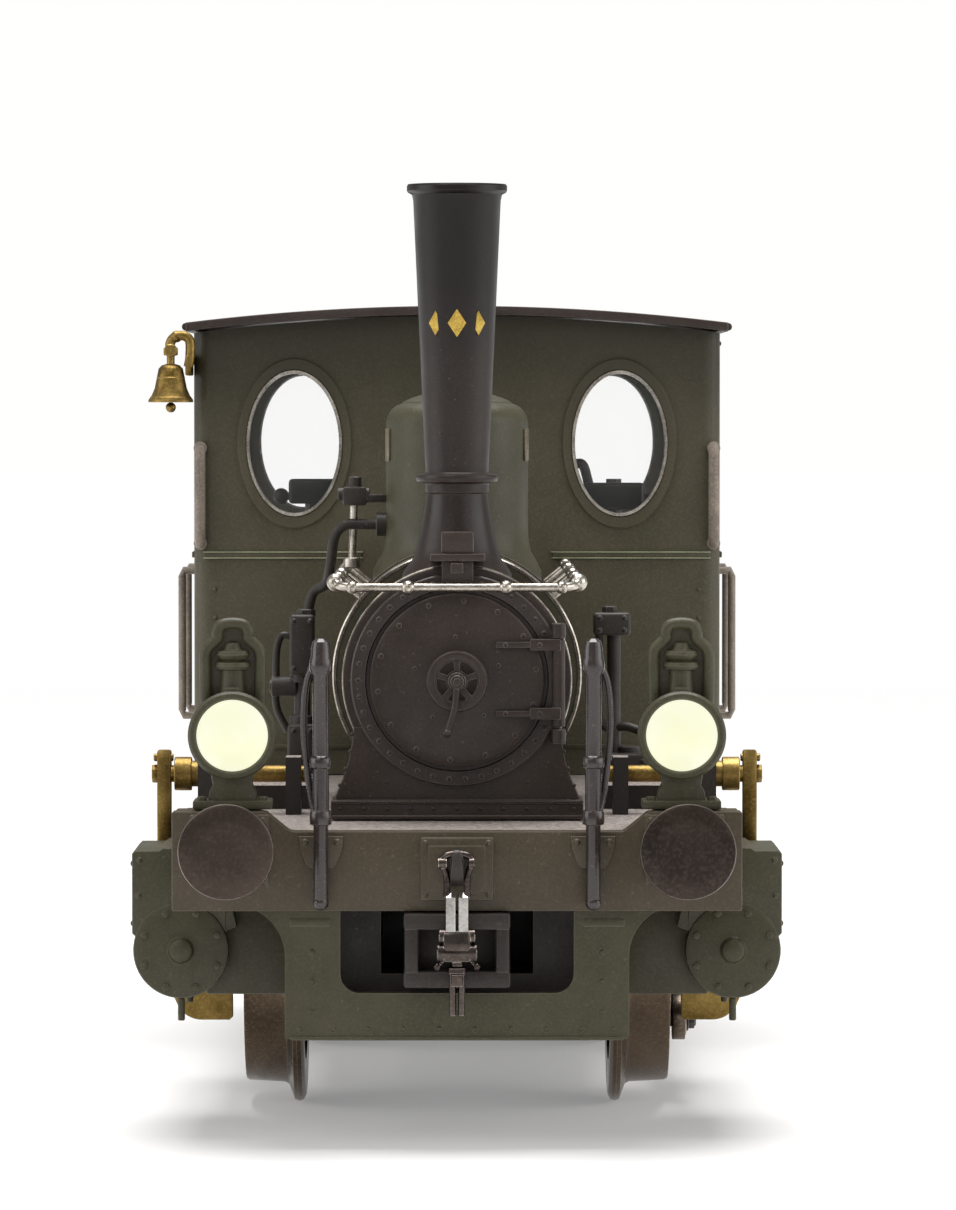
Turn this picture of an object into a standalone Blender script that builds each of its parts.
"""Small tank locomotive, 1:87 scale, two axles, outside cylinders, electric drive.

Lengths below are millimetres and become metres when a mesh is stored. X is to the right as the
engine is faced from the front, -Y is the front, +Z is up. The origin is on the centre line of the
track, midway between the buffer faces, at the level of the rail heads.
"""

import math

import bmesh
import bpy
from mathutils import Matrix, Vector

MM = 0.001

# Main sizes
LENGTH = 79.0  # over the buffers
BUFFER_X, BUFFER_Z, BUFFER_R = 10.05, 12.6, 2.1
BEAM_Y = LENGTH / 2 - 4.6  # outer face of each buffer beam
BEAM_THICK = 1.2
BEAM_HALF, BEAM_LOW, BEAM_MID, BEAM_TOP = 12.6, 9.67, 13.19, 14.07
DECK_LOW, DECK_TOP = 12.3, 13.15
DECK_WAIST = 11.15  # half width beside the connecting rods
GAP = 0.06  # between pieces that touch on the real model

# Running gear
AXLE_Y = 14.0
WHEEL_R, FLANGE_R = 6.25, 7.25
WHEEL_BACK, WHEEL_FACE = 7.15, 9.95
AXLE_R, SEAT_R = 1.5, 1.0
THROW = 3.25
PIN_R = 0.5
SPOKES = 10
COUPLING_ROD_X = (10.22, 10.9)
CONNECTING_ROD_X = (11.2, 11.85)
ROD_LENGTH = 23.5
# Crank angles about +X, from +Y towards +Z: the right crank leads by a quarter turn
CRANK_ANGLE = {1: -math.pi / 2, -1: 0.0}

# Cylinders
CYLINDER_X = 12.4
STEM_X = CYLINDER_X + 0.15
CYLINDER_FRONT, CYLINDER_REAR = -30.5, -20.4
CYLINDER_R = 2.15
CYLINDER_RISE = 7.55 - WHEEL_R  # of the cover's centre over the driven axle
SLOPE = math.atan2(CYLINDER_RISE, AXLE_Y - CYLINDER_FRONT)
CHEST_OUT, CHEST_TOP, CHEST_REAR = 14.6, 12.15, -23.5
BAR_X = (12.05, 13.05)  # slide bars

# Gears
MODULE = 0.4
AXLE_TEETH, IDLER_TEETH = 12, 16
IDLER_Z = WHEEL_R + MODULE * (AXLE_TEETH + IDLER_TEETH) / 2
WORM_R = 1.6
MOTOR_Z = IDLER_Z + MODULE * (IDLER_TEETH / 2 + 1) + WORM_R + 0.1

# Boiler
BOILER_Z = 19.55
SMOKEBOX_R, BOILER_R = 5.2, 5.7
SMOKEBOX_FRONT, SMOKEBOX_REAR = -26.9, -22.2
SADDLE_HALF = 5.74
CHIMNEY_Y = -24.55
DOME_Y, DOME_R, DOME_TOP = -9.5, 3.42, 32.7
DOOR_R, DOOR_OPENING_R = 3.95, 3.6
DOOR_HINGE = (4.6, SMOKEBOX_FRONT - 0.45)
HANDWHEEL_R = 1.39
RAIL_X, RAIL_Y, RAIL_Z = 5.5, -28.1, 23.78
RAIL_POSTS = (-20.4, -12.9, -2.6, 6.0)

# Cab
CAB_FRONT, CAB_REAR = 8.5, 27.5
CAB_HALF, CAB_WALL = 13.45, 0.6
ROOF_HALF, ROOF_THICK, ROOF_TOP, ROOF_EDGE = 13.8, 0.45, 37.1, 36.25
WINDOW_X, WINDOW_Z = 8.3, 30.1
WINDOW_HALF = (2.35, 3.62)
BUNKER_REAR, BUNKER_HALF, BUNKER_TOP = 33.3, 7.7, 22.0

# Fittings
LAMP_X, LAMP_Z, LAMP_FACE = 9.95, 17.4, -34.5
LAMP_R, LENS_R = 1.96, 1.55
ROCKER_Y, ROCKER_Z, ROCKER_SHAFT_R = -21.9, 15.0, 0.39
BEARING_X = ((7.2, 7.9), (11.25, 11.95))  # rocker shaft bearings on the footplate
HOSE_X, HOSE_Y = 6.0, -35.5
BELL_X, BELL_Y, BELL_CROWN_Z = -14.55, 7.4, 34.35
POCKET_Z = 7.95
LINK_Y, LINK_TOP = -36.45, 12.3

SIDE_TAG = {1: "right", -1: "left"}
END_TAG = {1: "rear", -1: "front"}
ROUND, SMALL = 20, 8  # sides of a large and a small circle

COLOURS = {
    "olive_paint": ((0.050, 0.060, 0.036), 0.42, 0.0),
    "beam_paint": ((0.090, 0.080, 0.055), 0.45, 0.0),
    "smokebox_black": ((0.035, 0.028, 0.030), 0.45, 0.0),
    "blackened_steel": ((0.035, 0.030, 0.030), 0.42, 0.6),
    "frame_black": ((0.030, 0.028, 0.027), 0.5, 0.0),
    "brass": ((0.45, 0.33, 0.13), 0.35, 1.0),
    "silver_wire": ((0.62, 0.60, 0.57), 0.3, 1.0),
    "steel": ((0.38, 0.34, 0.30), 0.35, 1.0),
    "buffer_steel": ((0.12, 0.095, 0.085), 0.4, 0.8),
    "lens": ((0.95, 0.95, 0.78), 0.2, 0.0),
    "glass": ((0.85, 0.88, 0.88), 0.05, 0.0),
    "gear_plastic": ((0.55, 0.52, 0.45), 0.5, 0.0),
    "motor_can": ((0.55, 0.55, 0.56), 0.35, 1.0),
    "board": ((0.04, 0.16, 0.07), 0.4, 0.0),
}


def clear_scene():
    for thing in list(bpy.data.objects):
        bpy.data.objects.remove(thing, do_unlink=True)


def make_material(name):
    colour, roughness, metallic = COLOURS[name]
    material = bpy.data.materials.new(name)
    material.use_nodes = True
    shader = material.node_tree.nodes["Principled BSDF"]
    shader.inputs["Base Color"].default_value = (*colour, 1.0)
    shader.inputs["Roughness"].default_value = roughness
    shader.inputs["Metallic"].default_value = metallic
    material.diffuse_color = (*colour, 1.0)
    return material


def finished(bm):
    """Joins double points, turns the faces outwards and gives the mesh back."""
    bmesh.ops.remove_doubles(bm, verts=bm.verts, dist=0.0005)
    bmesh.ops.recalc_face_normals(bm, faces=bm.faces)
    return bm


def moved(bm, matrix):
    bmesh.ops.transform(bm, matrix=matrix, verts=bm.verts)
    return bm


def shift(x, y, z):
    return Matrix.Translation((x, y, z))


ALONG_X = Matrix.Rotation(math.pi / 2, 4, "Y")
ALONG_Y = Matrix.Rotation(-math.pi / 2, 4, "X")


def turned(profile, segments=ROUND, loop=False):
    """A turned solid about +Z from (radius, height) points; a loop is a ring with a bore."""
    bm = bmesh.new()
    points = [bm.verts.new((radius, 0, height)) for radius, height in profile]
    edges = [bm.edges.new(pair) for pair in zip(points, points[1:])]
    if loop:
        edges.append(bm.edges.new((points[-1], points[0])))
    bmesh.ops.spin(bm, geom=points + edges, axis=(0, 0, 1), cent=(0, 0, 0), dvec=(0, 0, 0),
                   steps=segments, angle=2 * math.pi, use_merge=True)
    return finished(bm)


def rod(radius, low, high, segments=SMALL):
    return turned([(0, low), (radius, low), (radius, high), (0, high)], segments)


def rod_x(radius, low, high, y, z, segments=SMALL):
    return moved(rod(radius, low, high, segments), shift(0, y, z) @ ALONG_X)


def rod_y(radius, low, high, x, z, segments=SMALL):
    return moved(rod(radius, low, high, segments), shift(x, 0, z) @ ALONG_Y)


def rod_z(radius, low, high, x, y, segments=SMALL):
    return moved(rod(radius, low, high, segments), shift(x, y, 0))


def block(x, y, z):
    """A rectangular block from three (low, high) pairs."""
    bm = bmesh.new()
    bmesh.ops.create_cube(bm, size=1.0)
    size = Matrix.Diagonal((x[1] - x[0], y[1] - y[0], z[1] - z[0], 1.0))
    return moved(bm, shift(sum(x) / 2, sum(y) / 2, sum(z) / 2) @ size)


def soft_block(x, y, z, radius=0.3, segments=2):
    """A block with rounded edges."""
    bm = block(x, y, z)
    bmesh.ops.bevel(bm, geom=list(bm.edges), offset=radius, segments=segments, profile=0.5,
                    affect="EDGES")
    return finished(bm)


def plate(outline, normal, low, high):
    """An outline extruded along an axis: points are (x, z) for Y, (y, z) for X, (x, y) for Z."""
    place = {
        "X": lambda a, b: (low, a, b),
        "Y": lambda a, b: (a, low, b),
        "Z": lambda a, b: (a, b, low),
    }[normal]
    bm = bmesh.new()
    face = bm.faces.new([bm.verts.new(place(a, b)) for a, b in outline])
    grown = bmesh.ops.extrude_face_region(bm, geom=[face])["geom"]
    along = Vector([(high - low) * (axis == normal) for axis in "XYZ"])
    bmesh.ops.translate(bm, vec=along, verts=[v for v in grown if isinstance(v, bmesh.types.BMVert)])
    return finished(bm)


def arc(centre, radius, start, end, steps):
    """Points along an arc, with angles in degrees; radius may be a pair for an ellipse."""
    across, up = radius if isinstance(radius, tuple) else (radius, radius)
    angles = [math.radians(start + (end - start) * i / steps) for i in range(steps + 1)]
    return [(centre[0] + across * math.cos(a), centre[1] + up * math.sin(a)) for a in angles]


def oval(centre, half, steps):
    return arc(centre, half, 0, 360, steps)[:-1]


def tube(points, radius, sides=SMALL):
    """A round bar along points, each ring square to the path."""
    route = [Vector(p) for p in points]
    count = len(route)
    ways = [(route[min(i + 1, count - 1)] - route[max(i - 1, 0)]).normalized() for i in range(count)]
    bm = bmesh.new()
    across = ways[0].orthogonal().normalized()
    rings = []
    for point, way in zip(route, ways):
        across = (across - way * across.dot(way)).normalized()
        beside = way.cross(across)
        turn = [2 * math.pi * k / sides for k in range(sides)]
        rings.append([bm.verts.new(point + radius * (math.cos(a) * across + math.sin(a) * beside))
                      for a in turn])
    for lower, upper in zip(rings, rings[1:]):
        for k in range(sides):
            after = (k + 1) % sides
            bm.faces.new((lower[k], lower[after], upper[after], upper[k]))
    bm.faces.new(rings[0][::-1])
    bm.faces.new(rings[-1])
    return finished(bm)


def ball(radius, x, y, z, segments=SMALL):
    bm = bmesh.new()
    bmesh.ops.create_uvsphere(bm, u_segments=segments, v_segments=segments // 2, radius=radius)
    return moved(bm, shift(x, y, z))


def together(shapes):
    """One mesh from shapes that don't touch each other."""
    whole = bmesh.new()
    for shape in shapes:
        part = bpy.data.meshes.new("part")
        shape.to_mesh(part)
        shape.free()
        whole.from_mesh(part)
        bpy.data.meshes.remove(part)
    return whole


def mirrored(bm, side):
    """The mesh itself for side 1, and its mirror image across the centre line for side -1."""
    if side < 0:
        moved(bm, Matrix.Diagonal((-1.0, 1.0, 1.0, 1.0)))
        bmesh.ops.reverse_faces(bm, faces=bm.faces)
    return bm


def turned_round(shapes):
    """Front-end shapes turned about the vertical to make the rear end's."""
    return [moved(shape, Matrix.Rotation(math.pi, 4, "Z")) for shape in shapes]


def store(bm, name, origin):
    """Writes a millimetre mesh to an object in metres whose origin is the given point."""
    moved(bm, Matrix.Scale(MM, 4) @ shift(*[-c for c in origin]))
    mesh = bpy.data.meshes.new(name)
    bm.to_mesh(mesh)
    bm.free()
    thing = bpy.data.objects.new(name, mesh)
    thing.location = Vector(origin) * MM
    return thing


class Builder:
    """Makes the named sub-parts, with their helper shapes kept out of the way."""

    def __init__(self):
        self.shop = bpy.data.collections.new("helpers")
        bpy.context.scene.collection.children.link(self.shop)
        self.materials = {name: make_material(name) for name in COLOURS}

    def helper(self, bm, name, origin):
        thing = store(bm, name, origin)
        thing.hide_render = True
        thing.display_type = "WIRE"
        self.shop.objects.link(thing)
        return thing

    def make(self, name, material, base, adds=(), cuts=(), origin=(0, 0, 0)):
        thing = store(base, name, origin)
        bpy.context.scene.collection.objects.link(thing)
        thing.data.materials.append(self.materials[material])
        steps = [("UNION", bm) for bm in adds] + [("DIFFERENCE", bm) for bm in cuts]
        for number, (operation, bm) in enumerate(steps):
            tool = self.helper(bm, f"{name}_tool_{number}", origin)
            boolean = thing.modifiers.new(f"{operation.lower()}_{number}", "BOOLEAN")
            boolean.operation = operation
            boolean.solver = "EXACT"
            boolean.object = tool
        thing.data.shade_smooth()
        thing.data.set_sharp_from_angle(angle=math.radians(35))
        return thing


def crank_pin(side, end):
    """(y, z) of a crankpin: side 1 is the right, end -1 the front axle."""
    angle = CRANK_ANGLE[side]
    return end * AXLE_Y + THROW * math.cos(angle), WHEEL_R + THROW * math.sin(angle)


def on_slope(y):
    """Height of the cylinder axis at y."""
    return WHEEL_R + (AXLE_Y - y) * math.tan(SLOPE)


def crosshead_y(side):
    """Where the crosshead pin is with the crank at rest."""
    pin_y, pin_z = crank_pin(side, 1)
    y = pin_y - ROD_LENGTH
    for _ in range(6):
        y = pin_y - math.sqrt(ROD_LENGTH**2 - (on_slope(y) - pin_z) ** 2)
    return y


def sloped(bm):
    """Tips a shape made along +Y into the cylinder axis about the driven axle."""
    about = shift(0, AXLE_Y, WHEEL_R)
    return moved(bm, about @ Matrix.Rotation(-SLOPE, 4, "X") @ about.inverted())


def gear_outline(teeth, phase):
    """Tooth flanks as straight lines, thinned for backlash."""
    pitch, points = MODULE * teeth / 2, []
    for tooth in range(teeth):
        for radius, offset in ((pitch - 0.48, -0.36), (pitch + 0.34, -0.13), (pitch + 0.34, 0.13),
                               (pitch - 0.48, 0.36)):
            angle = 2 * math.pi * (tooth + phase + offset) / teeth
            points.append((radius * math.cos(angle), radius * math.sin(angle)))
    return points


def gear(teeth, phase, half, y, z):
    return moved(plate(gear_outline(teeth, phase), "X", -half, half), shift(0, y, z))


def make_chassis(builder):
    low, half = 3.6, 5.9
    slots = [block((-9, 9), (y - 1.6, y + 1.6), (-1, WHEEL_R + 1.65)) for y in (-AXLE_Y, AXLE_Y)]
    gears = block((-1.7, 1.7), (AXLE_Y - 4.2, AXLE_Y + 4.2), (-1, 20))
    idler = block((-3.4, 3.4), (AXLE_Y - 0.7, AXLE_Y + 0.7), (IDLER_Z - 0.75, 20))
    noses = [block((-7, 7), (-34, -31.5), (0, 9.9)), block((-3.4, 3.4), (-34, -25.2), (6.6, 9.9))]
    tails = [moved(nose.copy(), Matrix.Rotation(math.pi, 4, "Z")) for nose in noses]
    builder.make("chassis_frame", "frame_black",
                 block((-half, half), (-33.5, 33.5), (low, DECK_LOW - GAP)),
                 cuts=[*slots, gears, idler, *noses, *tails])
    builder.make("keeper_plate", "frame_black",
                 soft_block((-5.6, 5.6), (-19, 19), (2.7, low - GAP), 0.25, 1),
                 cuts=[block((-1.6, 1.6), (AXLE_Y - 3.4, AXLE_Y + 3.4), (0, 5))])


def make_wheel(builder, side, end):
    """A spoked wheel with its counterweight and crankpin."""
    y, width = end * AXLE_Y, WHEEL_FACE - WHEEL_BACK
    body = turned([(SEAT_R + 0.06, 0), (FLANGE_R - 0.25, 0), (FLANGE_R, 0.35), (WHEEL_R + 0.3, 0.75),
                   (WHEEL_R, width), (5.45, width), (5.35, width - 0.5), (1.9, width - 0.5),
                   (1.8, width), (SEAT_R + 0.06, width)], 20, loop=True)
    phase = CRANK_ANGLE[side]
    turn = Matrix.Rotation(phase, 4, "X")
    holes = []
    for spoke in range(SPOKES):
        angle = 360 * (spoke + 0.5) / SPOKES
        if abs(angle - 180) < 40:
            continue  # the counterweight fills these, opposite the crank
        outline = arc((0, 0), 5.2, angle - 13.5, angle + 13.5, 3)
        outline += arc((0, 0), 2.3, angle + 7, angle - 7, 1)
        holes.append(moved(plate(outline, "X", -1, 4), turn))
    boss = moved(rod(1.13, 0.7, width + 0.12, 10), ALONG_X)
    pin_end = 12.0 if end > 0 else 11.35
    pin = moved(rod(PIN_R, 1.1, pin_end - WHEEL_BACK, 8), ALONG_X)
    for thing in (boss, pin):
        moved(thing, shift(0, THROW * math.cos(phase), THROW * math.sin(phase)))
    place = shift(WHEEL_BACK, y, WHEEL_R)
    shapes = [moved(body, ALONG_X), boss, pin, together(holes)]
    shapes = [mirrored(moved(shape, place), side) for shape in shapes]
    builder.make(f"{END_TAG[end]}_wheel_{SIDE_TAG[side]}", "steel", shapes[0], adds=shapes[1:3],
                 cuts=shapes[3:], origin=(side * WHEEL_BACK, y, WHEEL_R))


def make_axle(builder, end):
    seat, reach = WHEEL_BACK - GAP, WHEEL_FACE - 0.2
    profile = [(0, -reach), (SEAT_R, -reach), (SEAT_R, -seat), (AXLE_R, -seat), (AXLE_R, seat),
               (SEAT_R, seat), (SEAT_R, reach), (0, reach)]
    body = moved(turned(profile, 16), shift(0, end * AXLE_Y, WHEEL_R) @ ALONG_X)
    adds = [gear(AXLE_TEETH, 0.0, 1.2, AXLE_Y, WHEEL_R)] if end > 0 else []
    builder.make(f"{END_TAG[end]}_axle", "steel", body, adds=adds,
                 origin=(0, end * AXLE_Y, WHEEL_R))


def rod_outline(start, stop, boss, half):
    """A straight rod with a round boss at each end, as (y, z) points."""
    way = math.degrees(math.atan2(stop[1] - start[1], stop[0] - start[0]))
    dip = math.degrees(math.asin(half / boss))
    first = arc(start, boss, way + dip, way + 360 - dip, 10)
    last = arc(stop, boss, way + 180 + dip, way + 540 - dip, 10)
    return first + last


def make_rods(builder, side):
    tag = SIDE_TAG[side]
    front, rear = crank_pin(side, -1), crank_pin(side, 1)
    low, high = COUPLING_ROD_X
    eyes = [rod_x(PIN_R + 0.1, low - 1, high + 1, *pin, 10) for pin in (front, rear)]
    shapes = [plate(rod_outline(front, rear, 1.15, 0.55), "X", low, high), *eyes]
    shapes = [mirrored(shape, side) for shape in shapes]
    builder.make(f"coupling_rod_{tag}", "steel", shapes[0], cuts=shapes[1:],
                 origin=(side * low, *front))
    low, high = CONNECTING_ROD_X
    y = crosshead_y(side)
    small = (y, on_slope(y))
    body = plate(rod_outline(rear, small, 1.05, 0.5), "X", low, high)
    eye = rod_x(PIN_R + 0.1, low - 1, high + 1, *rear, 10)
    builder.make(f"connecting_rod_{tag}", "steel", mirrored(body, side), cuts=[mirrored(eye, side)],
                 origin=(side * low, *rear))


def make_crosshead(builder, side):
    y, x, z = crosshead_y(side), STEM_X, WHEEL_R
    body = soft_block((11.95, 13.15), (y - 1.4, y + 1.4), (z - 0.95, z + 0.95), 0.15, 1)
    stem = rod_y(0.38, y - 15.0, y, x, z, 8)
    pin = rod_x(0.45, 12.5, 13.5, y, z, 8)
    shapes = [mirrored(sloped(shape), side) for shape in (body, stem, pin)]
    builder.make(f"crosshead_{SIDE_TAG[side]}", "steel", shapes[0], adds=shapes[1:],
                 origin=(side * x, y, on_slope(y)))


def make_cylinder(builder, side):
    front, rear, r = CYLINDER_FRONT, CYLINDER_REAR, CYLINDER_R
    profile = [(0, front - 0.4), (0.5, front - 0.4), (0.58, front), (r - 0.1, front),
               (r, front + 0.12), (r, rear), (0.9, rear), (0.85, rear + 0.55), (0, rear + 0.55)]
    barrel = moved(turned(profile, ROUND), shift(CYLINDER_X, 0, WHEEL_R) @ ALONG_Y)
    bore = rod_y(0.5, -28.0, rear + 2, STEM_X, WHEEL_R, 12)
    chest = soft_block((10.4, CHEST_OUT), (front + 0.2, CHEST_REAR), (7.9, CHEST_TOP), 0.3, 1)
    inner = block((5.95, CYLINDER_X), (-29.6, -22.6), (5.5, 9.6))
    shapes = [sloped(barrel), chest, inner, sloped(bore)]
    shapes = [mirrored(shape, side) for shape in shapes]
    builder.make(f"cylinder_{SIDE_TAG[side]}", "olive_paint", shapes[0], adds=shapes[1:3],
                 cuts=shapes[3:])


def make_slide_bars(builder, side):
    """Two bars behind the cylinder, tied at both ends, with the rounded front flange."""
    z, front, rear = WHEEL_R, CYLINDER_REAR + 0.65, -4.0
    outline = arc((CYLINDER_X, z - 1.0), 2.1, 180, 360, 12)
    outline += [(CYLINDER_X + 1.2, z + 2.0), (CYLINDER_X - 0.9, z + 2.0)]
    flange = plate(outline, "Y", front, front + 0.6)
    flange_hole = rod_y(0.6, front - 1, front + 2, STEM_X, z, 8)
    bars = [block(BAR_X, (front + 0.2, rear), (z + rise - 0.3, z + rise + 0.3))
            for rise in (1.35, -1.35)]
    tie = block(BAR_X, (rear - 0.5, rear), (z - 1.5, z + 1.5))
    shapes = [mirrored(sloped(shape), side) for shape in (flange, *bars, tie, flange_hole)]
    builder.make(f"slide_bars_{SIDE_TAG[side]}", "brass", shapes[0], adds=shapes[1:4],
                 cuts=shapes[4:])


def make_rocker(builder, side):
    """A valve rocker: cross shaft, boss and hanging arm."""
    shaft = rod_x(ROCKER_SHAFT_R, 6.9, 13.6, ROCKER_Y, ROCKER_Z, 10)
    boss = rod_x(0.74, 12.25, 13.3, ROCKER_Y, ROCKER_Z, 12)
    arm = soft_block((13.2, 13.85), (ROCKER_Y - 0.4, ROCKER_Y + 0.4), (10.0, ROCKER_Z + 1.1),
                     0.12, 1)
    shapes = [mirrored(shape, side) for shape in (shaft, boss, arm)]
    builder.make(f"rocker_{SIDE_TAG[side]}", "brass", shapes[0], adds=shapes[1:],
                 origin=(side * 10, ROCKER_Y, ROCKER_Z))


def make_drive(builder):
    can = soft_block((-3.6, 3.6), (-9.0, 4.2), (MOTOR_Z - 3.6, MOTOR_Z + 3.6), 0.9, 2)
    collar = rod_y(1.5, 3.0, 5.0, 0, MOTOR_Z, 16)
    bore = rod_y(0.7, -2.0, 6.0, 0, MOTOR_Z, 12)
    builder.make("motor", "motor_can", can, adds=[collar], cuts=[bore])
    # Shaft, flywheel and worm
    profile = [(0, -1.0), (0.5, -1.0), (0.5, 5.5), (2.9, 5.5), (2.9, 8.1), (0.5, 8.1), (0.5, 10.4),
               (WORM_R, 10.4), (WORM_R, 17.6), (0.5, 17.6), (0.5, 18.3), (0, 18.3)]
    builder.make("motor_shaft", "steel", moved(turned(profile, 14), shift(0, 0, MOTOR_Z) @ ALONG_Y),
                 origin=(0, 0, MOTOR_Z))
    spindle = rod_x(0.6, -3.3, 3.3, AXLE_Y, IDLER_Z, 12)
    builder.make("idler_gear", "gear_plastic", gear(IDLER_TEETH, 0.5, 1.2, AXLE_Y, IDLER_Z),
                 adds=[spindle], origin=(0, AXLE_Y, IDLER_Z))
    builder.make("circuit_board", "board", block((-5.0, 5.0), (20.2, 26.6), (14.2, 15.0)))


def make_footplate(builder):
    front, rear, half = -33.6, 33.6, BEAM_HALF
    outline = [(-half, front), (half, front), (half, -19.4), (DECK_WAIST, -18.9), (DECK_WAIST, 7.5),
               (half, 8.0), (half, rear), (-half, rear), (-half, 8.0), (-DECK_WAIST, 7.5),
               (-DECK_WAIST, -18.9), (-half, -19.4)]
    opening = block((-4.0, 4.0), (-10.0, 19.6), (5, 20))
    covers, wells, bearings, bores = [], [], [], []
    for side in (-1, 1):
        for end in (-1, 1):
            y = (end * AXLE_Y - 4.6, end * AXLE_Y + 4.6)
            covers.append(block(sorted((side * 6.5, side * 10.6)), y, (DECK_TOP - 0.2, 14.25)))
            well = (y[0] + 0.4, y[1] - 0.4)
            wells.append(block(sorted((side * 6.9, side * 10.2)), well, (DECK_LOW - 1, 13.85)))
        for near, far in BEARING_X:
            x = sorted((side * near, side * far))
            bearings.append(block(x, (ROCKER_Y - 0.9, ROCKER_Y + 0.9), (DECK_TOP - 0.3, ROCKER_Z + 0.8)))
            bores.append(rod_x(ROCKER_SHAFT_R + 0.08, x[0] - 0.5, x[1] + 0.5, ROCKER_Y, ROCKER_Z, 12))
    builder.make("footplate", "frame_black", plate(outline, "Z", DECK_LOW, DECK_TOP),
                 adds=[together(covers + bearings)], cuts=[opening, together(wells + bores)])


def beam_outline():
    half, step = BEAM_HALF, 0.45
    right = [(half, BEAM_LOW), (half, BEAM_TOP), (8.45, BEAM_TOP), (7.9, BEAM_TOP - step),
             (7.3, BEAM_MID)]
    return right + [(-x, z) for x, z in reversed(right)]


def make_beam(builder, end):
    """Buffer beam with the raised corner blocks, bored buffer sleeves and draw hook plate."""
    face, back = BEAM_Y, BEAM_Y - BEAM_THICK
    shapes = [plate(beam_outline(), "Y", -face, -back)]
    bores = []
    for side in (-1, 1):
        x = side * BUFFER_X
        sleeve = turned([(0, -37.2), (1.25, -37.2), (1.3, -face - 0.35), (1.42, -face - 0.3),
                         (1.42, -back - 0.2), (0, -back - 0.2)], 14)
        shapes.append(moved(sleeve, shift(x, 0, BUFFER_Z) @ ALONG_Y))
        shapes.append(block(sorted((side * 8.7, side * 12.5)), (-face + 0.1, -32.0),
                            (DECK_TOP + GAP, BEAM_TOP - 0.02)))
        bores.append(rod_y(0.95, -38, -back - 0.4, x, BUFFER_Z, 12))
    shapes.append(block((-1.6, 1.6), (-face - 0.3, -face + 0.2), (10.2, 12.9)))
    if end > 0:
        outline = [(-face - 1.6, 11.2), (-face - 1.3, 12.2), (-face, 12.2), (-face, 10.9),
                   (-face - 1.2, 10.9)]
        shapes.append(plate(outline, "X", -0.35, 0.35))
        shapes, bores = turned_round(shapes), turned_round(bores)
    builder.make(f"{END_TAG[end]}_buffer_beam", "beam_paint", shapes[0], adds=shapes[1:], cuts=bores)


def make_buffer(builder, side, end):
    face, r = LENGTH / 2, BUFFER_R
    profile = [(0, -face), (r - 0.08, -face), (r, -face + 0.08), (r, -face + 0.35),
               (0.95, -face + 0.6), (0.8, -face + 0.9), (0.8, -35.3), (0, -35.3)]
    body = moved(turned(profile, ROUND), shift(side * BUFFER_X * (-end), 0, BUFFER_Z) @ ALONG_Y)
    if end > 0:
        turned_round([body])
    builder.make(f"buffer_{END_TAG[end]}_{SIDE_TAG[side]}", "buffer_steel", body,
                 origin=(side * BUFFER_X, end * face, BUFFER_Z))


def make_pilot(builder):
    """The guard plate under the front beam, with its window open towards the beam."""
    window = [(5.17, 9.6), *reversed(arc((4.37, 6.79), 0.8, -90, 0, 4))]
    edge = [(7.62, 3.96), (7.62, 7.6), *arc((9.9, 7.6), 2.28, 180, 130, 5), (8.9, 9.6)]
    outline = window + [(-x, z) for x, z in reversed(window)]
    outline += [(-x, z) for x, z in reversed(edge)] + edge
    builder.make("pilot_plate", "olive_paint", plate(outline, "Y", -34.3, -33.66))


def make_coupler_pocket(builder, end):
    """A coupler pocket frame on its swivelling shank."""
    front, back, z = -35.4, -32.2, POCKET_Z
    frame = soft_block((-2.36, 2.36), (front, back), (z - 1.65, z + 1.65), 0.25, 1)
    mouth = block((-1.72, 1.72), (front - 1, back - 0.6), (z - 0.92, z + 0.92))
    shank = block((-0.9, 0.9), (back - 0.2, -26.0), (z - 0.7, z + 0.7))
    shapes = [frame, shank, mouth]
    if end > 0:
        shapes = turned_round(shapes)
    builder.make(f"coupler_pocket_{END_TAG[end]}", "frame_black", shapes[0], adds=shapes[1:2],
                 cuts=shapes[2:], origin=(0, end * 26.5, z))


def make_screw_link(builder):
    """Draw hook and the hanging screw link in front of the beam."""
    hook = [(-35.25, 12.35), (-36.6, 12.35), (-36.9, 11.9), (-36.7, 11.6), (-36.45, 11.95),
            (-36.1, 11.6), (-35.9, 10.9), (-35.25, 10.9)]
    builder.make("draw_hook", "frame_black", plate(hook, "X", -0.35, 0.35))
    y, top = LINK_Y, LINK_TOP
    half = [(0.62, y, 8.6), (0.66, y, 11.2), (0.6, y, top)]
    bow = tube([*half, (0, y, top + 0.65), *[(-a, b, c) for a, b, c in reversed(half)]], 0.2, 8)
    nut = soft_block((-0.95, 0.95), (y - 0.45, y + 0.45), (7.9, 9.3), 0.15, 1)
    screw = tube([(0, y, 8.2), (0, y, 6.3)], 0.3, 10)
    prongs = [tube([(x, y, 6.9), (x, y, 5.4)], 0.14, 6) for x in (-0.24, 0.24)]
    builder.make("screw_link", "steel", nut, adds=[bow, screw, *prongs], origin=(0, y, top))


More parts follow.
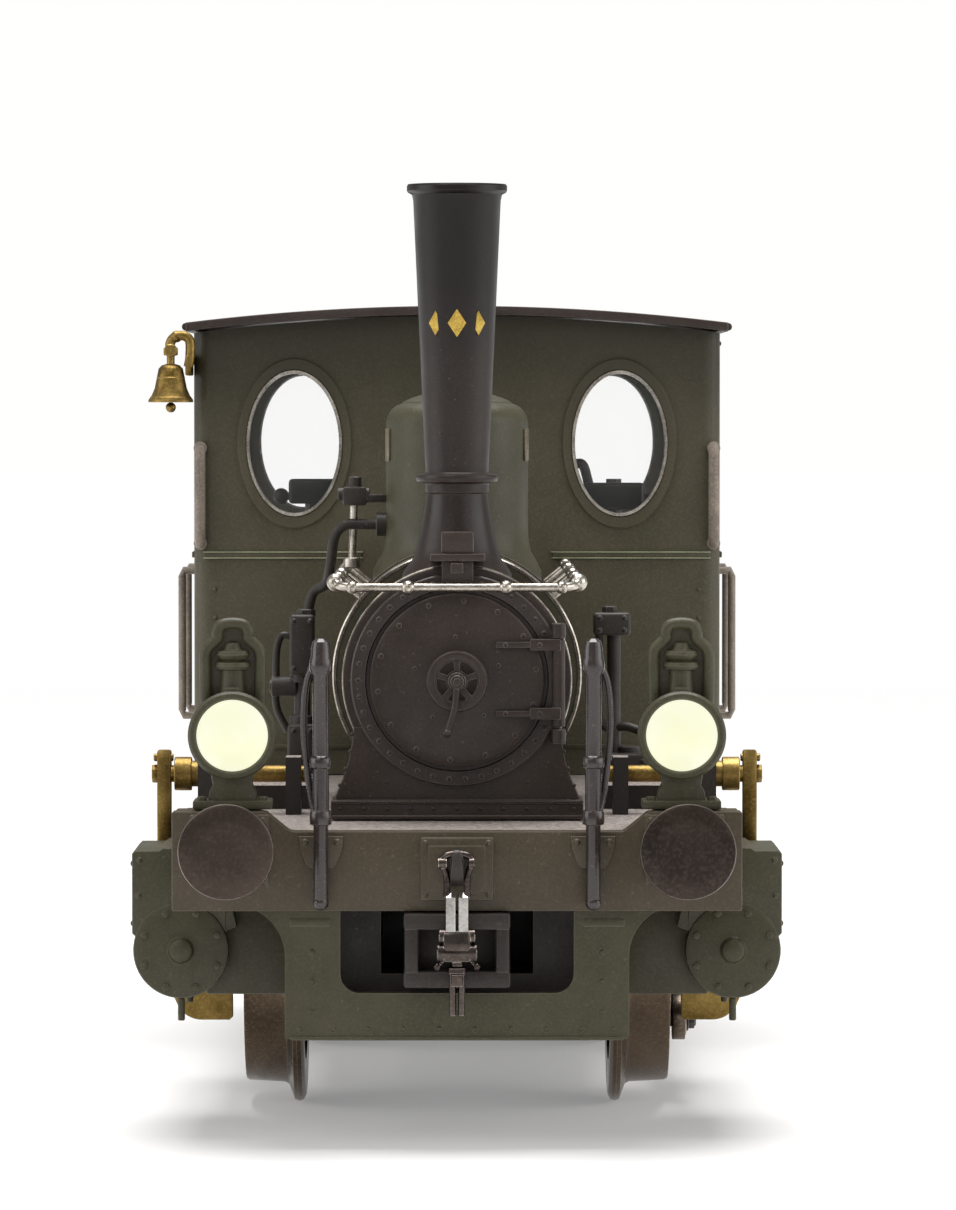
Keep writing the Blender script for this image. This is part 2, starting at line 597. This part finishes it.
def make_boiler(builder):
    axis = shift(0, 0, BOILER_Z) @ ALONG_Y
    front, rear, r = SMOKEBOX_FRONT, SMOKEBOX_REAR, SMOKEBOX_R
    drum = turned([(DOOR_OPENING_R, front), (4.72, front), (4.8, front + 0.15), (r - 0.1, front + 0.15),
                   (r, front + 0.3), (r, rear), (0.0, rear), (0.0, front + 4.2),
                   (DOOR_OPENING_R, front + 4.2), (DOOR_OPENING_R, front)], ROUND)
    flare = [(SADDLE_HALF, DECK_TOP + GAP), (SADDLE_HALF, 13.95), (5.55, 14.0), (4.95, 15.6), (4.7, 17.2)]
    saddle = plate(flare + [(-x, z) for x, z in reversed(flare)], "Y", front + 0.15, rear - 0.1)
    angle_strip = block((-SADDLE_HALF, SADDLE_HALF), (front - 0.25, front + 0.4),
                        (DECK_TOP + GAP, 13.95))
    hollow = rod_y(DOOR_OPENING_R, front - 1, front + 4.2, 0, BOILER_Z, ROUND)
    x, y = DOOR_HINGE
    hinges = [rod_z(0.3, BOILER_Z + low, BOILER_Z + low + 0.7, x, y) for low in (-2.9, 1.9)]
    lugs = [block((x - 0.3, x + 0.3), (y, front + 0.5), (BOILER_Z + low, BOILER_Z + low + 0.5))
            for low in (-2.8, 2.0)]
    builder.make("smokebox", "smokebox_black", moved(drum, axis),
                 adds=[saddle, angle_strip, *hinges, *lugs], cuts=[hollow])
    shell = turned([(BOILER_R - 0.6, rear + 0.1), (BOILER_R - 0.1, rear + 0.1), (BOILER_R, rear + 0.2),
                    (BOILER_R, CAB_FRONT - 0.1), (BOILER_R - 0.6, CAB_FRONT - 0.1)], ROUND, loop=True)
    under = block((-4.1, 4.1), (-10.4, 20), (5, BOILER_Z - 2))
    builder.make("boiler_barrel", "olive_paint", moved(shell, axis), cuts=[under])


def make_door(builder):
    x, y = DOOR_HINGE
    face = SMOKEBOX_FRONT - GAP
    profile = [(0, face), (DOOR_R, face), (DOOR_R, face - 0.35), (DOOR_R - 0.15, face - 0.5),
               (1.5, face - 0.72), (0, face - 0.72)]
    leaf = moved(turned(profile, ROUND), shift(0, 0, BOILER_Z) @ ALONG_Y)
    straps = [block((1.6, x), (face - 0.85, face - 0.3), (z - 0.28, z + 0.28))
              for z in (BOILER_Z + 1.6, BOILER_Z - 1.55)]
    knuckle = rod_z(0.34, BOILER_Z - 2.1, BOILER_Z + 1.85, x, y, 8)
    builder.make("smokebox_door", "smokebox_black", leaf, adds=[*straps, knuckle],
                 origin=(x, y, BOILER_Z))
    front = face - 0.72
    ring = turned([(1.12, front - 0.95), (1.32, front - 0.95), (HANDWHEEL_R, front - 0.8),
                   (1.32, front - 0.62), (1.12, front - 0.62), (1.05, front - 0.8)], 15, loop=True)
    axis = shift(0, 0, BOILER_Z) @ ALONG_Y
    hub = rod_y(0.42, front - 1.15, front - 0.5, 0, BOILER_Z, 10)
    stem = rod_y(0.22, front - 0.6, front - 0.05, 0, BOILER_Z, 10)
    spokes = [moved(block((-0.16, 0.16), (front - 0.92, front - 0.68), (0.2, 1.2)),
                    shift(0, 0, BOILER_Z) @ Matrix.Rotation(2 * math.pi * k / 5, 4, "Y")) for k in range(5)]
    builder.make("door_handwheel", "blackened_steel", moved(ring, axis), adds=[*spokes, hub, stem],
                 origin=(0, front - 0.8, BOILER_Z))
    grip = tube([(0, front - 1.35, BOILER_Z), (-0.12, front - 1.4, BOILER_Z - 1.2),
                 (-0.45, front - 1.5, BOILER_Z - 2.3)], 0.19, 8)
    collar = rod_y(0.36, front - 1.65, front - 1.2, 0, BOILER_Z, 10)
    builder.make("door_lever", "blackened_steel", collar, adds=[grip], origin=(0, front - 1.4, BOILER_Z))


def make_chimney(builder):
    profile = [(0.95, 23.0), (2.3, 23.0), (2.3, 24.5), (1.98, 25.0), (1.67, 26.2), (1.42, 27.6),
               (1.42, 28.45), (1.87, 28.55), (1.87, 28.85), (1.42, 28.95), (2.03, 41.5), (2.3, 41.7),
               (2.3, 42.1), (1.9, 42.1), (1.75, 40.5), (1.1, 29.0)]
    body = moved(turned(profile, 18, loop=True), shift(0, CHIMNEY_Y, 0))
    seat = rod_y(SMOKEBOX_R + GAP, -30, -15, 0, BOILER_Z, ROUND * 2)
    ledge = rod_y(BOILER_R + GAP, SMOKEBOX_REAR + 0.05, -15, 0, BOILER_Z, ROUND * 2)
    builder.make("chimney", "smokebox_black", body, cuts=[seat, ledge], origin=(0, CHIMNEY_Y, 0))


def make_dome(builder):
    r, top = DOME_R, DOME_TOP
    profile = [(0, 22.5), (r + 0.45, 22.5), (r + 0.45, 24.9), (r, 25.6), (r, top - 1.1)]
    profile += [(r - 0.95 + 0.95 * math.cos(a), top - 1.1 + 0.9 * math.sin(a)) for a in (0.5, 1.0)]
    profile += [(r - 1.0, top - 0.12), (0, top)]
    body = moved(turned(profile, 20), shift(0, DOME_Y, 0))
    seat = rod_y(BOILER_R + GAP, -20, 5, 0, BOILER_Z, ROUND * 2)
    builder.make("dome", "olive_paint", body, cuts=[seat], origin=(0, DOME_Y, 0))


def roof_line(half, top, edge, steps, drop=0.0):
    """(x, z) points of the cambered roof, from +X to -X."""
    points = []
    for i in range(steps + 1):
        x = half * (1 - 2 * i / steps)
        points.append((x, top - drop - (top - edge) * (x / half) ** 2))
    return points


def make_cab(builder):
    half, wall, front, rear = CAB_HALF, CAB_WALL, CAB_FRONT, CAB_REAR
    low = DECK_TOP + GAP
    roof = roof_line(half, ROOF_TOP - ROOF_THICK - GAP, ROOF_EDGE - ROOF_THICK - GAP, 8)
    outer = plate([(half, low), *roof, (-half, low)], "Y", front, rear)
    upright = [edge for edge in outer.edges if abs(edge.verts[0].co.z - edge.verts[1].co.z) > 5]
    bmesh.ops.bevel(outer, geom=upright, offset=0.8, segments=3, profile=0.5, affect="EDGES")
    finished(outer)
    room = block((-half + wall, half - wall), (front + wall, rear - wall), (0, 50))
    cuts = [room]
    for side in (-1, 1):
        window = plate(oval((side * WINDOW_X, WINDOW_Z), WINDOW_HALF, 18), "Y", front - 5, rear + 5)
        cuts.append(window)
    door = plate([(17.5, 23.2), *arc((18.3, 34.0), 0.8, 180, 90, 3), *arc((22.7, 34.0), 0.8, 90, 0, 3),
                  (23.5, 15.0), (20.0, 15.0), (20.0, 23.2)], "X", -20, 20)
    side_window = plate([(10.8, 24.5), (15.6, 24.5), *arc((14.8, 33.6), 0.8, 0, 90, 3),
                         *arc((11.6, 33.6), 0.8, 90, 180, 3)], "X", -20, 20)
    barrel = rod_y(BOILER_R + GAP, front - 1, front + 3, 0, BOILER_Z, ROUND)
    b = BUNKER_HALF
    bunker = block((-b, b), (rear - 0.2, BUNKER_REAR), (low, BUNKER_TOP))
    coal = block((-b + 0.5, b - 0.5), (rear + 0.3, BUNKER_REAR - 0.5), (17.5, 30))
    builder.make("cab_body", "olive_paint", outer, adds=[bunker],
                 cuts=[*cuts, door, side_window, barrel, coal])
    under = roof_line(ROOF_HALF, ROOF_TOP, ROOF_EDGE, 16, drop=ROOF_THICK)
    outline = roof_line(ROOF_HALF, ROOF_TOP, ROOF_EDGE, 16) + under[::-1]
    builder.make("cab_roof", "smokebox_black", plate(outline, "Y", front - 0.9, rear + 0.9))
    # Two panes joined by a web under the roof, as one clear moulding
    glass_half, near, far = half - wall - 0.3, front + wall + 0.1, rear - wall - 0.1
    panes = [block((-glass_half, glass_half), pair, (25.6, 34.6))
             for pair in ((near, near + 0.35), (far - 0.35, far))]
    web = block((-3.0, 3.0), (near, far), (34.3, 34.65))
    builder.make("cab_glazing", "glass", panes[0], adds=[panes[1], web])


def make_backhead(builder):
    """Firebox end inside the cab with its shelf, regulator, reverser and brake column."""
    low = DECK_TOP + GAP
    outline = [(4.9, low), (4.9, 22.0), *arc((0, 21.0), 4.9, 12, 168, 8), (-4.9, 22.0), (-4.9, low)]
    casing = plate(outline, "Y", 9.9, 19.2)
    inside = block((-4.1, 4.1), (8, 18.6), (5, MOTOR_Z + 3.4))
    shelf = block((-9.2, 9.2), (15.5, 17.5), (22.0, 23.0))
    fittings = [
        rod_z(0.35, 22.5, 27.6, -7.6, 16.5, 10),
        soft_block((-8.8, -6.3), (16.0, 17.0), (26.9, 28.2), 0.2, 1),
        rod_z(0.4, 22.5, 28.2, 8.2, 16.5, 10),
        soft_block((6.6, 9.8), (15.9, 17.1), (26.6, 28.0), 0.2, 1),
        rod_y(0.9, 19.0, 19.8, 0, 23.2, 16),
        soft_block((-2.4, 2.4), (19.0, 19.7), (16.0, 18.6), 0.2, 1),
    ]
    builder.make("backhead", "smokebox_black", casing, adds=[shelf, *fittings], cuts=[inside])


def make_bell(builder):
    """Bell, its clapper hung in the crown, and the curved bracket on the cab side."""
    x, y, z = BELL_X, BELL_Y, BELL_CROWN_Z
    outer = [(1.14, z - 2.2), (1.12, z - 2.0), (0.82, z - 1.5), (0.68, z - 0.8), (0.5, z - 0.3),
             (0, z - 0.2)]
    inner = [(0, z - 0.5), (0.45, z - 0.6), (0.6, z - 1.2), (0.98, z - 2.1)]
    cup = moved(turned(inner + outer, 12), shift(x, y, 0))
    yoke = rod_z(0.22, z - 0.4, z + 0.12, x, y)
    clapper = [rod_z(0.12, z - 2.3, z - 0.3, x, y, 6), ball(0.27, x, y, z - 2.45, 6)]
    builder.make("bell", "brass", cup, adds=[yoke, *clapper], origin=(x, y, z + 0.48))
    arch = [(x, y, z + 0.5), (x, y, z + 0.9), (x + 0.25, y, z + 1.2), (x + 0.75, y, z + 1.2),
            (x + 0.95, y, z + 0.9), (x + 0.95, y, z - 0.1)]
    plate_on_side = block((-CAB_HALF - 0.3, -CAB_HALF - GAP), (y - 0.3, CAB_FRONT + 1.6),
                          (z - 0.8, z + 0.2))
    eye = rod_y(0.3, y - 0.3, y + 0.3, x, z + 0.48, 10)
    builder.make("bell_bracket", "brass", tube(arch, 0.26, 6), adds=[plate_on_side, eye])


def make_lamp(builder, side, end):
    """A drum lamp with its foot, vent stack and hoop handle."""
    face, z, r = LAMP_FACE, LAMP_Z, LAMP_R
    bowl = LENS_R + 0.05
    drum = turned([(0, face + 0.5), (bowl, face + 0.5), (bowl, face + 0.08), (r - 0.22, face),
                   (r, face + 0.12), (r, face + 0.5), (r - 0.2, face + 0.6), (r - 0.3, face + 2.9),
                   (0, face + 2.9)], 16)
    vent = turned([(0, z), (0.62, z), (0.62, z + 2.7), (0.9, z + 2.8), (0.9, z + 3.4), (0.5, z + 3.5),
                   (0.45, z + 3.9), (0, z + 4.15)], 8)
    half = [(1.42, z + 0.4), (1.42, z + 3.6), (1.12, z + 4.1), (0.87, z + 4.6), (0.47, z + 4.95)]
    arch = half + [(-x, height) for x, height in reversed(half)]
    hoop = tube([(x, 0, height) for x, height in arch], 0.22, 5)
    foot = soft_block((-1.75, 1.75), (face + 0.2, face + 2.4), (BEAM_TOP + GAP, BEAM_TOP + 0.45),
                      0.08, 1)
    neck_half = [(1.15, BEAM_TOP + 0.3), (0.9, 15.3), (1.15, 16.2)]
    neck = plate(neck_half + [(-x, height) for x, height in reversed(neck_half)], "Y",
                 face + 0.5, face + 2.1)
    middle = shift(0, face + 1.3, 0)
    shapes = [moved(drum, shift(0, 0, z) @ ALONG_Y), moved(vent, middle), moved(hoop, middle), foot, neck]
    place = shift(side * LAMP_X, 0, 0)
    if end > 0:
        place = place @ Matrix.Rotation(math.pi, 4, "Z")
    shapes = [moved(shape, place) for shape in shapes]
    builder.make(f"{END_TAG[end]}_lamp_{SIDE_TAG[side]}", "olive_paint", shapes[0], adds=shapes[1:])
    if end < 0:
        rim = LENS_R - 0.02
        lens = turned([(0, face + 0.05), (0.8, face + 0.1), (rim, face + 0.2), (rim, face + 0.42),
                       (0, face + 0.42)], 16)
        builder.make(f"front_lens_{SIDE_TAG[side]}", "lens", moved(lens, place @ shift(0, 0, z) @ ALONG_Y))


def make_hose(builder, side):
    """An upright brake standpipe with its cap, clamps and beam bracket."""
    x, y, thin, thick = HOSE_X, HOSE_Y, 0.33, 0.46
    profile = [(0, 9.9)]
    for low, high in ((9.9, 13.7), (14.1, 16.1), (16.6, 20.3)):
        profile += [(thin, low), (thin, high), (thick, high), (thick, min(high + 0.45, 21.2))]
    pipe = turned([*profile, (0.36, 21.7), (0, 21.75)], SMALL)
    holder = plate([(x - 0.95, 12.4), (x + 0.95, 12.4), (x + 0.3, 11.0), (x - 0.3, 11.0)], "Y",
                   y, -BEAM_Y - GAP)
    shapes = [mirrored(shape, side) for shape in (moved(pipe, shift(x, y, 0)), holder)]
    builder.make(f"brake_hose_{SIDE_TAG[side]}", "smokebox_black", shapes[0], adds=shapes[1:])


def make_handrail(builder):
    """One wire across the smokebox and back along both sides of the boiler, on stanchions."""
    z, y, x = RAIL_Z, RAIL_Y, RAIL_X
    half = [(4.4, y, z), (4.95, y + 0.15, z), (5.35, y + 0.6, z + 0.1), (x, y + 1.4, z + 0.2),
            (x, CAB_FRONT - 0.1, z + 0.2)]
    route = [(-a, b, c) for a, b, c in reversed(half)] + half
    shapes = [rod_y(0.17, y, SMOKEBOX_FRONT - GAP, place, z, 6) for place in (-2.2, 2.2)]
    shapes += [ball(0.34, place, y, z) for place in (-2.2, 2.2)]
    for side in (-1, 1):
        shapes.append(ball(0.42, side * x, y + 1.4, z + 0.2))
        for along in RAIL_POSTS:
            angle = math.atan2(z + 0.2 - BOILER_Z, side * x)
            foot = (BOILER_R + GAP) * Vector((math.cos(angle), 0, math.sin(angle)))
            shapes.append(tube([(foot.x, along, BOILER_Z + foot.z), (side * x, along, z + 0.2)], 0.16, 6))
            shapes.append(ball(0.34, side * x, along, z + 0.2, 6))
    builder.make("boiler_handrail", "silver_wire", tube(route, 0.21, 6), adds=shapes)


def make_boiler_pipes(builder, side):
    """Left: feed pump, clack pipe and steam pipe. Right: air reservoir frame and lubricator."""
    low = DECK_TOP + GAP
    if side < 0:
        steam_pipe = [(-7.3, -7.5, 21.5), (-7.0, -7.6, 22.9), (-6.35, -8.0, 23.4), (-6.1, -8.8, 24.4),
                      (-5.9, -9.3, 25.9), (-5.3, -9.5, 26.3), (-3.55, -9.5, 26.3)]
        drain = [(-8.0, -7.5, 20.8), (-8.5, -7.5, 20.9), (-8.7, -7.5, 20.0), (-8.75, -7.5, 17.4),
                 (-8.2, -7.5, 16.2)]
        shapes = [soft_block((-8.1, -6.9), (-8.5, -6.5), (19.0, 21.9), 0.15, 1),
                  tube([(-7.5, -7.5, low), (-7.5, -7.5, 19.5)], 0.42, 8),
                  soft_block((-8.2, -6.9), (-8.5, -6.5), (low, 16.6), 0.15, 1),
                  tube(steam_pipe, 0.25, 6),
                  tube(drain, 0.18, 6),
                  rod_x(0.5, -9.0, -7.8, -7.5, 18.4, 8)]
    else:
        shapes = [soft_block((6.6, 8.4), (-8.5, -7.0), (20.9, 22.0), 0.15, 1),
                  tube([(7.6, -7.7, low), (7.6, -7.7, 21.2)], 0.34, 8),
                  tube([(6.9, -7.7, 21.2), (6.9, -7.7, 16.6), (7.5, -7.7, 16.2)], 0.2, 6),
                  soft_block((7.2, 9.3), (-8.7, -6.7), (low, 15.2), 0.15, 1),
                  tube([(7.6, -7.7, 16.4), (8.6, -8.3, 16.4), (9.3, -8.5, 16.1)], 0.22, 6)]
    builder.make(f"boiler_pipes_{SIDE_TAG[side]}", "frame_black", shapes[0], adds=shapes[1:])


def main():
    clear_scene()
    builder = Builder()
    make_chassis(builder)
    make_footplate(builder)
    for end in (-1, 1):
        make_axle(builder, end)
        make_beam(builder, end)
        make_coupler_pocket(builder, end)
        for side in (-1, 1):
            make_wheel(builder, side, end)
            make_buffer(builder, side, end)
            make_lamp(builder, side, end)
    for side in (-1, 1):
        make_rods(builder, side)
        make_crosshead(builder, side)
        make_cylinder(builder, side)
        make_slide_bars(builder, side)
        make_rocker(builder, side)
        make_hose(builder, side)
        make_boiler_pipes(builder, side)
    make_drive(builder)
    make_pilot(builder)
    make_screw_link(builder)
    make_boiler(builder)
    make_door(builder)
    make_chimney(builder)
    make_dome(builder)
    make_cab(builder)
    make_backhead(builder)
    make_bell(builder)
    make_handrail(builder)


main()
